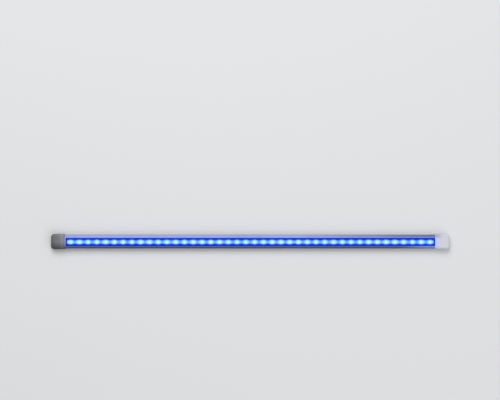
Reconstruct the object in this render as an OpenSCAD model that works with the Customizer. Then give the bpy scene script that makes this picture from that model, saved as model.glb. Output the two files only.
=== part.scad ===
// LED strip light for a car: a row of chip LEDs on a circuit strip, inside a silicone
// sleeve with a clear light window, closed by a moulded cap at each end.
// The strip lies on its adhesive back. X runs along it, Y across it, and light leaves along +Z.
// Lengths are in millimetres. The origin is the middle of the face it rests on.

/* [Light row] */
// Distance from one LED to the next
led_pitch = 10; // [8:0.5:14]
// LEDs in one cut segment
leds_per_segment = 3; // [2:1:3]
// Cut segments along the strip
segments = 14; // [6:1:16]
// Lit window beyond the last segment, at each end
lit_margin = 0.5; // [0:0.25:3]
// Distance of the LED row from the middle of the sleeve, towards -Y
row_offset = 0.5; // [0:0.1:0.8]

/* [Sleeve] */
// Width of the sleeve
sleeve_w = 16; // [15:0.5:22]
// Thickness of the sleeve
sleeve_h = 7; // [6.75:0.25:9]
// Radius of the two front edges
front_edge_r = 2.2; // [1:0.1:2.6]
// Radius of the two back edges
back_edge_r = 0.8; // [0.4:0.1:1.6]
// Silicone under the circuit strip
floor_t = 1.4; // [0.8:0.1:1.8]

/* [Light window] */
// Width of the clear face
window_w = 9; // [7.5:0.25:9.5]
// Thickness of the window at its edges
window_t = 2; // [1.6:0.1:2.4]
// Rise of the crowned face in the middle
crown_rise = 0.35; // [0.1:0.05:0.6]
// Reach of the foot that keys the window into the sleeve, on each side
foot_reach = 0.6; // [0.3:0.1:1]
// Thickness of that foot
foot_t = 0.7; // [0.5:0.1:1]
// Ledge beside the light chamber under the window, on each side
window_ledge = 0.25; // [0:0.05:0.8]

/* [Circuit strip] */
// Width of the circuit strip
board_w = 8; // [7:0.25:9]
// Thickness of the circuit strip
board_t = 0.3; // [0.2:0.05:0.6]
// Sleeve lip that holds the board down, on each side
board_lip = 0.5; // [0.3:0.1:0.8]
// Length of one solder pad at a cut line
pad_l = 2.4; // [1.6:0.2:3]
// Width of one solder pad
pad_w = 1.6; // [1:0.1:2]
// Height of the pads above the board
pad_t = 0.05; // [0.03:0.01:0.1]
// Distance of the pads from the board's centre line
pad_y = 2.4; // [1.8:0.1:2.6]

/* [LED] */
// Length of the package, along the strip
led_l = 3.5; // [3:0.1:5]
// Width of the package
led_w = 2.8; // [2:0.1:3.5]
// Height of the package
led_h = 0.8; // [0.6:0.05:1.2]
// White rim around the light-emitting fill
led_rim = 0.4; // [0.25:0.05:0.6]
// Depth of the cup that holds the fill
cup_depth = 0.25; // [0.15:0.05:0.4]
// Radius of the cup's corners
cup_r = 0.5; // [0.2:0.1:0.8]
// Corner cut that marks the cathode
cathode_cut = 0.5; // [0.2:0.1:0.6]
// Reach of each metal terminal past the package
terminal_reach = 0.15; // [0.05:0.05:0.3]
// Height of a terminal
terminal_h = 0.25; // [0.1:0.05:0.4]

/* [Chip resistor] */
// Length of a resistor, along the strip
chip_l = 2; // [1.6:0.1:3.2]
// Width of a resistor
chip_w = 1.25; // [0.8:0.05:1.6]
// Thickness of a resistor
chip_t = 0.5; // [0.4:0.05:0.7]
// Length of its metal end bands
band_l = 0.4; // [0.2:0.05:0.5]
// Thickness of those bands over the ceramic
band_t = 0.04; // [0.02:0.01:0.08]

/* [End caps] */
// Length of sleeve inside each cap
cap_reach = 11; // [8:0.5:16]
// Wall of the cap around the sleeve
cap_wall = 0.7; // [0.5:0.05:0.85]
// Thickness of the cap's closed end
cap_end_t = 2.5; // [1.5:0.25:5]
// Radius of the two outer corners, seen from the front
cap_corner_r = 4; // [3:0.1:6]
// Radius of the cap's front edges
cap_front_r = 2.6; // [1.5:0.1:2.9]
// Radius of the cap's back edges
cap_back_r = 1.1; // [0.6:0.1:1.4]
// Length of the tapered lip at the cap's mouth
lip_l = 2.2; // [1:0.2:4]
// Depth of that taper
lip_drop = 0.4; // [0.1:0.05:0.45]
// Ledge that stops the sleeve inside the cap, at each side
stop_ledge = 1.2; // [0.8:0.1:2]
// Length of the sealant between sleeve and cap
seal_l = 3.2; // [2:0.2:6]

/* [Wire entry] */
// Radius of the wire hole
wire_hole_r = 1.75; // [1:0.05:2.1]
// Bevel around the mouth of the hole
wire_bevel = 0.3; // [0.1:0.05:0.5]
// Extra radius of the passage through the sealant
passage_gap = 0.2; // [0.05:0.05:0.3]
// Sealant above and below that passage
passage_wall = 0.35; // [0.2:0.05:0.5]
// Length of a wire pad at the end of the board
wire_pad_l = 4; // [2:0.5:6]

/* [Adhesive back] */
// Width of the foam tape
tape_w = 12; // [6:0.5:13]
// Thickness of the foam tape
tape_t = 0.8; // [0.8:0.1:1.6]
// Thickness of the release liner
liner_t = 0.1; // [0.05:0.05:0.2]
// Bare sleeve between the tape and each cap
tape_margin = 1; // [0.5:0.5:10]

/* [Fits] */
// Gap between sleeve and cap, filled with glue
cap_gap = 0.05; // [0.02:0.01:0.1]
// Gap around the sealant in its pocket
seal_gap = 0.05; // [0.02:0.01:0.1]
// Gap between window and sleeve
window_gap = 0.03; // [0.02:0.01:0.06]
// Gap beside the board in its slot, on each side
board_gap = 0.2; // [0.1:0.05:0.4]
// Gap over the board under the sleeve's lips
board_play = 0.15; // [0.06:0.02:0.3]
// Gap around an LED's fill in its cup
fill_gap = 0.02; // [0.01:0.01:0.04]
// Gap between the board's ends and the sleeve's ends
board_setback = 1; // [0.5:0.25:3]

/* [Hidden] */
$fn = 64;
cut = 1; // how far a cutting solid runs past the face that it opens

led_count = segments * leds_per_segment;
segment_l = leds_per_segment * led_pitch;
row_l = led_count * led_pitch;
window_seen_l = row_l + 2 * lit_margin;
sleeve_l = window_seen_l + 2 * cap_reach;
board_l = sleeve_l - 2 * board_setback;
cap_l = cap_reach + seal_l + cap_end_t;
overall_l = window_seen_l + 2 * cap_l;

row_y = -row_offset;
sleeve_z = liner_t + tape_t;
board_z = sleeve_z + floor_t;
parts_z = board_z + board_t; // the face that the LEDs and resistors stand on
foot_z = sleeve_h - window_t; // above the sleeve's back, as the sections are
slot_h = board_t + board_play;

cap_w = sleeve_w + 2 * (cap_gap + cap_wall);
cap_h = sleeve_h + crown_rise + 2 * (cap_gap + cap_wall);
cap_z = sleeve_z - cap_gap - cap_wall;
pocket_w = sleeve_w - 2 * stop_ledge;
pocket_h = 2 * (wire_hole_r + passage_gap + passage_wall);
pocket_r = min(front_edge_r, pocket_h / 4);
seat_z = cap_wall + cap_gap; // the sleeve's back above the cap's back
pocket_z = seat_z + (sleeve_h - pocket_h) / 2;
wire_z = sleeve_z + sleeve_h / 2;

function led_name(i) = str("led_", i < 10 ? "0" : "", i);
function led_x(i) = (i - (led_count + 1) / 2) * led_pitch;
function cut_line_x(k) = k * segment_l - row_l / 2;

// Shared shapes

// Extrudes a section drawn as (Y, Z) along X, centred on the origin.
module along_x(length) {
    rotate([90, 0, 90]) linear_extrude(length, center = true) children();
}

// A section centred on Y, standing on Z = 0, with its own radius at the front and back edges.
module rounded_section(width, height, front_r, back_r) {
    translate([-width / 2, back_r]) square([width, height - front_r - back_r]);
    translate([back_r - width / 2, 0]) square([width - 2 * back_r, 2 * back_r]);
    translate([front_r - width / 2, height - 2 * front_r])
        square([width - 2 * front_r, 2 * front_r]);
    for (side = [-1, 1]) {
        translate([side * (width / 2 - back_r), back_r]) circle(back_r);
        translate([side * (width / 2 - front_r), height - front_r]) circle(front_r);
    }
}

// The crowned part of the window's face, a segment of a large circle, with its chord at Z = 0.
module crown_section(width, rise) {
    crown_r = (width * width / 4 + rise * rise) / (2 * rise);
    intersection() {
        translate([0, rise - crown_r]) circle(crown_r, $fn = 720);
        translate([-width / 2, -foot_t]) square([width, foot_t + rise + cut]);
    }
}

// Silicone sleeve and light window

// The sleeve's outline, with the window's crown, grown by a gap all round.
module filled_outline(gap) {
    translate([0, -gap])
        rounded_section(
            sleeve_w + 2 * gap, sleeve_h + 2 * gap, front_edge_r + gap, back_edge_r + gap
        );
    translate([row_y, sleeve_h + gap]) crown_section(window_w + 2 * gap, crown_rise);
}

// Slot for the board, light chamber with flared walls, and keyway for the window.
module sleeve_channel() {
    slot_w = board_w + 2 * board_gap;
    throat_w = board_w - 2 * board_lip;
    mouth_w = window_w - 2 * window_ledge;
    keyway_w = window_w + 2 * foot_reach;
    translate([-slot_w / 2, floor_t]) square([slot_w, slot_h]);
    polygon([
        [-throat_w / 2, floor_t], [throat_w / 2, floor_t], [throat_w / 2, floor_t + slot_h],
        [mouth_w / 2, foot_z], [mouth_w / 2, foot_z + foot_t], [-mouth_w / 2, foot_z + foot_t],
        [-mouth_w / 2, foot_z], [-throat_w / 2, floor_t + slot_h]
    ]);
    translate([-keyway_w / 2, foot_z]) square([keyway_w, foot_t]);
    translate([-window_w / 2, foot_z]) square([window_w, window_t + cut]);
}

module sleeve() {
    color("#a9b1cc") translate([0, 0, sleeve_z]) along_x(sleeve_l)
        difference() {
            rounded_section(sleeve_w, sleeve_h, front_edge_r, back_edge_r);
            translate([row_y, 0]) sleeve_channel();
        }
}

module light_window() {
    foot_w = window_w + 2 * foot_reach - 2 * window_gap;
    neck_w = window_w - 2 * window_gap;
    color("#1c46d8") translate([0, row_y, sleeve_z + foot_z]) along_x(sleeve_l) {
        translate([-foot_w / 2, window_gap]) square([foot_w, foot_t - 2 * window_gap]);
        translate([-neck_w / 2, window_gap]) square([neck_w, window_t - window_gap]);
        translate([0, window_t]) crown_section(neck_w, crown_rise);
    }
}

// Circuit strip and what is soldered to it

// The two pads at one place along the board, one for each supply track.
module pad_pair(length) {
    for (side = [-1, 1])
        translate([-length / 2, side * pad_y - pad_w / 2, 0])
            cube([length, pad_w, board_t + pad_t]);
}

module circuit_strip() {
    color("white") translate([0, row_y, board_z]) {
        translate([-board_l / 2, -board_w / 2, 0]) cube([board_l, board_w, board_t]);
        for (k = [0:segments]) translate([cut_line_x(k), 0, 0]) pad_pair(pad_l);
        translate([wire_pad_l / 2 - board_l / 2, 0, 0]) pad_pair(wire_pad_l);
    }
}

// The cup in the top of an LED, or the fill in it when a gap is taken off all round.
module led_cup_outline(gap) {
    length = led_l - 2 * led_rim - 2 * gap;
    width = led_w - 2 * led_rim - 2 * gap;
    corner_r = cup_r - gap;
    translate([-length / 2, corner_r - width / 2]) square([length, width - 2 * corner_r]);
    translate([corner_r - length / 2, -width / 2]) square([length - 2 * corner_r, width]);
    for (x_side = [-1, 1], y_side = [-1, 1])
        translate([x_side * (length / 2 - corner_r), y_side * (width / 2 - corner_r)])
            circle(corner_r);
}

module led(i) {
    color("ivory") translate([led_x(i), row_y, parts_z]) {
        difference() {
            translate([-led_l / 2, -led_w / 2, 0]) cube([led_l, led_w, led_h]);
            translate([0, 0, led_h - cup_depth])
                linear_extrude(cup_depth + cut) led_cup_outline(0);
            translate([led_l / 2, led_w / 2, led_h / 2]) rotate(45)
                cube([cathode_cut * sqrt(2), cathode_cut * sqrt(2), led_h + cut], center = true);
        }
        for (side = [-1, 1])
            translate([side * led_l / 2, 0, terminal_h / 2])
                cube([2 * terminal_reach, led_w - 2 * cathode_cut, terminal_h], center = true);
    }
}

module led_fills() {
    color("#c9f6ff")
        for (i = [1:led_count])
            translate([led_x(i), row_y, parts_z + led_h - cup_depth])
                linear_extrude(cup_depth - fill_gap) led_cup_outline(fill_gap);
}

// One resistor for each segment, between its first two LEDs.
module chip_resistors() {
    color("#303236")
        for (k = [0:segments - 1])
            translate([cut_line_x(k) + led_pitch, row_y, parts_z + chip_t / 2]) {
                cube([chip_l - 2 * band_t, chip_w - 2 * band_t, chip_t - 2 * band_t], center = true);
                for (side = [-1, 1])
                    translate([side * (chip_l - band_l) / 2, 0, 0])
                        cube([band_l, chip_w, chip_t], center = true);
            }
}

// End caps

// Half of the cap's edge profile, from its inside at Y = 0 out to the given reach.
module cap_edge_profile(reach) {
    intersection() {
        rounded_section(2 * reach, cap_h, cap_front_r, cap_back_r);
        square([reach, cap_h]);
    }
}

// A quarter cone along X, from the lip's thin mouth to an edge of full radius.
module lip_edge(edge_r) {
    rotate([90, 0, 90]) rotate_extrude(angle = 90)
        polygon([[0, 0], [edge_r - lip_drop, 0], [edge_r, lip_l], [0, lip_l]]);
}

// The tapered lip: flat sides between quarter cones about the centres of the cap's edge arcs.
module cap_lip() {
    front_y = cap_w / 2 - cap_front_r;
    front_z = cap_h - cap_front_r;
    back_y = cap_w / 2 - cap_back_r;
    rotate([90, 0, 0]) linear_extrude(2 * front_y, center = true)
        polygon([[0, lip_drop], [lip_l, 0], [lip_l, cap_h], [0, cap_h - lip_drop]]);
    for (side = [0, 1]) mirror([0, side, 0]) {
        translate([0, 0, cap_back_r]) linear_extrude(front_z - cap_back_r)
            polygon([[0, front_y], [lip_l, front_y], [lip_l, cap_w / 2], [0, cap_w / 2 - lip_drop]]);
        translate([0, back_y, 0]) rotate([90, 0, 0]) linear_extrude(back_y - front_y)
            polygon([[0, lip_drop], [lip_l, 0], [lip_l, cap_back_r], [0, cap_back_r]]);
        translate([0, front_y, front_z]) lip_edge(cap_front_r);
        translate([0, back_y, cap_back_r]) mirror([0, 0, 1]) lip_edge(cap_back_r);
    }
}

// The cap's outer form with its mouth at X = 0: the lip, a bar, two turned corners and the end.
module cap_form() {
    corner_x = cap_l - cap_corner_r;
    corner_y = cap_w / 2 - cap_corner_r;
    cap_lip();
    translate([(lip_l + corner_x) / 2, 0, 0]) along_x(corner_x - lip_l)
        rounded_section(cap_w, cap_h, cap_front_r, cap_back_r);
    translate([corner_x, corner_y, 0])
        rotate_extrude(angle = 90) cap_edge_profile(cap_corner_r);
    translate([corner_x, -corner_y, 0])
        rotate([0, 0, -90]) rotate_extrude(angle = 90) cap_edge_profile(cap_corner_r);
    translate([corner_x, corner_y, 0])
        rotate([90, 0, 0]) linear_extrude(2 * corner_y) cap_edge_profile(cap_corner_r);
}

// The cap's inside: a seat for the sleeve, then a smaller pocket that sealant fills.
module cap_inside() {
    translate([(cap_reach - cut) / 2, 0, seat_z]) along_x(cap_reach + cut)
        filled_outline(cap_gap);
    translate([cap_reach + (seal_l - cut) / 2, 0, pocket_z]) along_x(seal_l + cut)
        rounded_section(pocket_w, pocket_h, pocket_r, pocket_r);
}

module end_cap() {
    difference() {
        cap_form();
        cap_inside();
    }
}

// The sealant that closes the sleeve's end, a little smaller than its pocket.
module seal() {
    seal_w = pocket_w - 2 * seal_gap;
    seal_h = pocket_h - 2 * seal_gap;
    seal_r = pocket_r - seal_gap;
    translate([cap_reach + seal_l / 2, 0, pocket_z + seal_gap])
        along_x(seal_l - 2 * seal_gap) rounded_section(seal_w, seal_h, seal_r, seal_r);
}

// Turns what is drawn from a cap's mouth outwards to the wire end, and seats it there.
module at_wire_end() {
    translate([-window_seen_l / 2, 0, cap_z]) mirror([1, 0, 0]) children();
}

module at_blind_end() {
    translate([window_seen_l / 2, 0, cap_z]) children();
}

// A round hole of the given radius on the axis of the wire entry.
module wire_bore(radius, length) {
    translate([-overall_l / 2 - cut, row_y, wire_z])
        rotate([0, 90, 0]) cylinder(r = radius, h = length + cut);
}

module wire_end_cap() {
    color("#85878d") difference() {
        at_wire_end() end_cap();
        wire_bore(wire_hole_r, cap_end_t + cut);
        translate([-overall_l / 2 - cut, row_y, wire_z]) rotate([0, 90, 0])
            cylinder(r1 = wire_hole_r + wire_bevel + cut, r2 = wire_hole_r, h = wire_bevel + cut);
    }
}

module blind_end_cap() {
    color("#d3d4de") at_blind_end() end_cap();
}

module wire_end_seal() {
    color("#c4c6ca") difference() {
        at_wire_end() seal();
        wire_bore(wire_hole_r + passage_gap, cap_end_t + seal_l + cut);
    }
}

module blind_end_seal() {
    color("#d8d9dc") at_blind_end() seal();
}

// Adhesive back

module tape_layer(thickness) {
    length = window_seen_l - 2 * tape_margin;
    translate([-length / 2, -tape_w / 2, 0]) cube([length, tape_w, thickness]);
}

module adhesive_tape() {
    color("#5c5f63") translate([0, 0, liner_t]) tape_layer(tape_t);
}

module release_liner() {
    color("#c8372f") tape_layer(liner_t);
}

sleeve();
light_window();
circuit_strip();
for (i = [1:led_count]) led(i);
led_fills();
chip_resistors();
wire_end_cap();
blind_end_cap();
wire_end_seal();
blind_end_seal();
adhesive_tape();
release_liner();
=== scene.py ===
import math
from types import SimpleNamespace as Named

import bmesh
import bpy
from mathutils import Matrix, Vector


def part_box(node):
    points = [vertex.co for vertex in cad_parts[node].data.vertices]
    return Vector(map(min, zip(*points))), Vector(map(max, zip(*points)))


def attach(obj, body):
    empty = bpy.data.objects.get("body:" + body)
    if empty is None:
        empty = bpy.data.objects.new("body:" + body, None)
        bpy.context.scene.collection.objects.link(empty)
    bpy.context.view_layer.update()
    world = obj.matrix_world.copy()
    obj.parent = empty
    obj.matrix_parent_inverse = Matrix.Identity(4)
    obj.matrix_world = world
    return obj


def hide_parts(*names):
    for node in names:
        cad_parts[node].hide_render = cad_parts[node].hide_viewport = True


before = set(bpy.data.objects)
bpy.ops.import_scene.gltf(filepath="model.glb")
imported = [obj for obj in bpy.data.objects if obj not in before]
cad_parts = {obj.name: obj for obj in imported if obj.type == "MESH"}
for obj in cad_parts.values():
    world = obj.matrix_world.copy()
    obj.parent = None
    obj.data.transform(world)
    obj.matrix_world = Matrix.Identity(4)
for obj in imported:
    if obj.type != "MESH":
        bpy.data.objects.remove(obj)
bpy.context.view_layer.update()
mm = 0.001
body = "root"  # nothing on the strip moves, so every piece rides on this body

# Places and sizes that the pieces share, all read from the frame
ledCount = sum(name.startswith("led_") and name[4:].isdigit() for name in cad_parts)


def middle(node):
    low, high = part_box(node)
    return (low + high) / 2


firstLed = middle("led_01")
lastLed = middle(f"led_{ledCount:02d}")
pitch = (lastLed.x - firstLed.x) / (ledCount - 1)
segment = 3 * pitch  # three LEDs share a resistor, and the strip is cut between such segments
segments = ledCount // 3
rowY = middle("light_window").y
sleeveLow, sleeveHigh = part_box("sleeve")
windowLow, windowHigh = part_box("light_window")
boardLow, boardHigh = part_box("circuit_strip")
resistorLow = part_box("chip_resistors")[0]
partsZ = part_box("led_01")[0].z  # the face that the small parts stand on
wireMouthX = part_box("wire_end_cap")[1].x
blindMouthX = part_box("blind_end_cap")[0].x
litHalf = (blindMouthX - wireMouthX) / 2


def tone(red, green, blue):  # a screen colour from 0 to 255, as linear light
    def channel(value):
        share = value / 255
        return share / 12.92 if share <= 0.04045 else ((share + 0.055) / 1.055) ** 2.4
    return (channel(red), channel(green), channel(blue), 1)


def inMetres(sizes):
    return Named(**{name: value * mm for name, value in sizes.items()})


# Node building

def feed(tree, socket, value):  # a node stands for its first output
    if isinstance(value, bpy.types.Node):
        value = value.outputs[0]
    if isinstance(value, bpy.types.NodeSocket):
        tree.links.new(value, socket)
    elif value is not None:
        socket.default_value = value


def addNode(tree, kind, feeds=None, **settings):
    node = tree.nodes.new(kind)
    for name, value in settings.items():
        setattr(node, name, value)
    for name, value in (feeds or {}).items():
        feed(tree, node.inputs[name], value)
    return node


def calc(tree, operation, first, second=None, clamp=False):
    return addNode(tree, "ShaderNodeMath", {0: first, 1: second}, operation=operation, use_clamp=clamp)


def times(tree, first, *others):
    for other in others:
        first = calc(tree, "MULTIPLY", first, other)
    return first


def distance(tree, value, centre):
    return calc(tree, "ABSOLUTE", calc(tree, "SUBTRACT", value, centre))


def spread(tree, value, fromLow, fromHigh, toLow=0.0, toHigh=1.0, smooth=True):
    return addNode(tree, "ShaderNodeMapRange", {
        "Value": value, "From Min": fromLow, "From Max": fromHigh, "To Min": toLow, "To Max": toHigh,
    }, interpolation_type="SMOOTHSTEP" if smooth else "LINEAR")


def below(tree, value, edge, soft):  # 1 under the edge and 0 past it, softly
    return spread(tree, value, edge + soft, edge - soft)


def mixColours(tree, share, first, second, blend="MIX"):
    feeds = {0: share, 6: first, 7: second}
    return addNode(tree, "ShaderNodeMix", feeds, data_type="RGBA", blend_type=blend).outputs[2]


def mixValues(tree, share, first, second):
    return addNode(tree, "ShaderNodeMix", {0: share, 2: first, 3: second}, data_type="FLOAT")


def product(tree, first, second):  # one colour times another
    return mixColours(tree, 1.0, first, second, "MULTIPLY")


def scaleColour(tree, colour, share):  # a colour made darker or lighter by a value
    grey = addNode(tree, "ShaderNodeCombineColor", {"Red": share, "Green": share, "Blue": share})
    return product(tree, colour, grey)


def places(tree):  # the place on the piece, then its X, Y and Z, in metres
    spot = addNode(tree, "ShaderNodeTexCoord").outputs["Object"]
    split = addNode(tree, "ShaderNodeSeparateXYZ", {"Vector": spot}).outputs
    return spot, split["X"], split["Y"], split["Z"]


def noise(tree, spot, scale, stretch=(1, 1, 1), detail=2.0):
    spot = addNode(tree, "ShaderNodeMapping", {"Vector": spot, "Scale": stretch})
    return addNode(tree, "ShaderNodeTexNoise", {"Vector": spot, "Scale": scale, "Detail": detail})


def vary(tree, wave, low, high):  # a noise, most of which lies from 0.3 to 0.7, moved to another range
    return spread(tree, wave, 0.3, 0.7, low, high)


def cells(tree, spot, scale):
    return addNode(tree, "ShaderNodeTexVoronoi", {"Vector": spot, "Scale": scale}, feature="F1").outputs


def newGroup(name, kind, inputs, outputs):
    tree = bpy.data.node_groups.new(name, kind)
    for way, sockets in (("INPUT", inputs), ("OUTPUT", outputs)):
        for label, socketType in sockets.items():
            tree.interface.new_socket(label, in_out=way, socket_type="NodeSocket" + socketType)
    entry = tree.nodes.new("NodeGroupInput")
    leave = tree.nodes.new("NodeGroupOutput")
    return tree, entry.outputs, leave.inputs


# Effects that more than one material uses

glow = Named(
    band=0.75,            # brightness midway between two LEDs, where the brightest is 1
    bandReach=2.75 * mm,  # half width of the band of light, across the strip
    bandPower=2.8,        # 2 gives a bell, more gives a flatter top with steeper sides
    coreReach=2.95 * mm,  # half width of the light round an LED, across the strip
    corePower=2.7,
    endFade=2.2 * mm,     # the light dies out this far before the window's end
    endReach=1.5 * mm,    # and its deep blue this far inside the caps
    unevenness=0.08,      # difference in brightness from one LED to the next
    lengthSpread=0.12,    # and in the length of its light
    hazeCore=0.48,        # what an LED adds to the band in the window's front face
    hazeLength=3.0 * mm,  # and half the length over which it adds it
    boardCore=0.95,       # the same on the board, its parts and the chamber's walls
    boardLength=2.35 * mm,
    inner=1.14,           # how much brighter the board and its parts are than the window's face
)

lightTones = [  # light level, colour
    (0.00, (0, 8, 128)), (0.16, (0, 30, 164)), (0.34, (12, 62, 206)), (0.56, (62, 130, 238)),
    (0.74, (108, 184, 255)), (0.88, (172, 235, 255)), (1.00, (216, 255, 255)),
]

skinLook = Named(  # cloud, lines, grain and specks say how fine each is, in turns a metre
    cloud=60.0, lines=900.0, grain=5200.0, grainHeight=0.15, specks=650.0,
    speckEdge=0.10, speckCore=0.04,  # as shares of a speck's cell
    plainShare=0.82,                 # the share of cells with no speck in them
)


def fromLed(tree, x, step):  # the way along X from the nearest LED
    place = calc(tree, "FRACT", calc(tree, "DIVIDE", x, step))
    return times(tree, calc(tree, "SUBTRACT", place, 0.5), step)


def stripLightGroup():
    tree, given, result = newGroup("stripLight", "ShaderNodeTree", {
        "Pitch": "Float", "Row Y": "Float", "Half Length": "Float", "Core": "Float", "Core Length": "Float",
    }, {"Colour": "Color"})
    _, x, y, _ = places(tree)
    across = calc(tree, "SUBTRACT", y, given["Row Y"])

    def bell(away, reach, power):  # 1 in the middle, falling smoothly past the reach
        share = calc(tree, "DIVIDE", calc(tree, "ABSOLUTE", away), reach)
        return calc(tree, "EXPONENT", times(tree, calc(tree, "POWER", share, power), -1.0))

    def around(value, reach):  # a value from 0 to 1 moved to 1 - reach to 1 + reach
        return spread(tree, value, 0.0, 1.0, 1 - reach, 1 + reach, smooth=False)

    number = calc(tree, "FLOOR", calc(tree, "DIVIDE", x, given["Pitch"]))
    own = addNode(tree, "ShaderNodeTexWhiteNoise", {"W": number}, noise_dimensions="1D").outputs
    other = addNode(tree, "ShaderNodeSeparateColor", {"Color": own["Color"]}).outputs[1]
    coreLength = times(tree, given["Core Length"], around(other, glow.lengthSpread))
    core = times(tree, bell(fromLed(tree, x, given["Pitch"]), coreLength, glow.corePower),
                 bell(across, glow.coreReach, glow.corePower), given["Core"],
                 around(own["Value"], glow.unevenness))
    band = times(tree, bell(across, glow.bandReach, glow.bandPower), glow.band)
    toEnd = calc(tree, "SUBTRACT", given["Half Length"], calc(tree, "ABSOLUTE", x))
    level = times(tree, calc(tree, "ADD", core, band), spread(tree, toEnd, 0.0, glow.endFade))
    ramp = addNode(tree, "ShaderNodeValToRGB", {0: level})
    stops = ramp.color_ramp.elements
    while len(stops) < len(lightTones):
        stops.new(0.5)
    for stop, (place, colour) in zip(stops, lightTones):
        stop.position = place
        stop.color = tone(*colour)
    inWindow = spread(tree, toEnd, -glow.endReach, 0.0)
    feed(tree, result["Colour"], scaleColour(tree, ramp, inWindow))
    return tree


def siliconeSkinGroup():  # soft clouds, drawn lines, a fine grain and a little dust
    tree, given, result = newGroup("siliconeSkin", "ShaderNodeTree", {
        "Stretch": "Vector", "Streaks": "Float", "Dust": "Float", "Gloss": "Float",
    }, {"Shade": "Float", "Roughness": "Float", "Height": "Float"})
    spot = places(tree)[0]
    cloud = noise(tree, spot, skinLook.cloud)
    lines = noise(tree, spot, skinLook.lines, given["Stretch"])
    grain = noise(tree, spot, skinLook.grain)
    specks = cells(tree, spot, skinLook.specks)
    mote = spread(tree, specks["Distance"], skinLook.speckEdge, skinLook.speckCore)
    chosen = addNode(tree, "ShaderNodeSeparateColor", {"Color": specks["Color"]})
    mote = times(tree, mote, calc(tree, "GREATER_THAN", chosen, skinLook.plainShare), given["Dust"])
    drawn = times(tree, vary(tree, lines, -0.5, 0.5), given["Streaks"])
    shade = calc(tree, "ADD", vary(tree, cloud, 0.96, 1.04), drawn)
    rough = calc(tree, "ADD", given["Gloss"], vary(tree, cloud, -0.04, 0.06))
    fine = times(tree, grain, skinLook.grainHeight)
    height = calc(tree, "ADD", times(tree, lines, given["Streaks"]), fine)
    dusty = {"Shade": (shade, 0.25), "Roughness": (rough, 0.3), "Height": (height, 0.5)}
    for label, (plain, share) in dusty.items():  # a speck of dust adds its share to each
        feed(tree, result[label], calc(tree, "ADD", plain, times(tree, mote, share)))
    return tree


stripLight = stripLightGroup()
siliconeSkin = siliconeSkinGroup()


def lightOn(tree, core=glow.boardCore, coreLength=glow.boardLength):
    return addNode(tree, "ShaderNodeGroup", {
        "Pitch": pitch, "Row Y": rowY, "Half Length": litHalf, "Core": core, "Core Length": coreLength,
    }, node_tree=stripLight)


def skinOn(tree, stretch, streaks, dust, gloss):
    return addNode(tree, "ShaderNodeGroup", {
        "Stretch": stretch, "Streaks": streaks, "Dust": dust, "Gloss": gloss,
    }, node_tree=siliconeSkin).outputs


def startMaterial(name):
    material = bpy.data.materials.new(name)
    material.use_nodes = True
    return material, material.node_tree


def paint(material, looks, height=None, depth=0.0):  # height and depth give the relief
    tree = material.node_tree
    shader = tree.nodes["Principled BSDF"]
    for name, value in looks.items():
        feed(tree, shader.inputs[name], value)
    if height is not None:
        bump = addNode(tree, "ShaderNodeBump", {"Height": height, "Strength": 1.0, "Distance": depth})
        feed(tree, shader.inputs["Normal"], bump)
    return material


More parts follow.
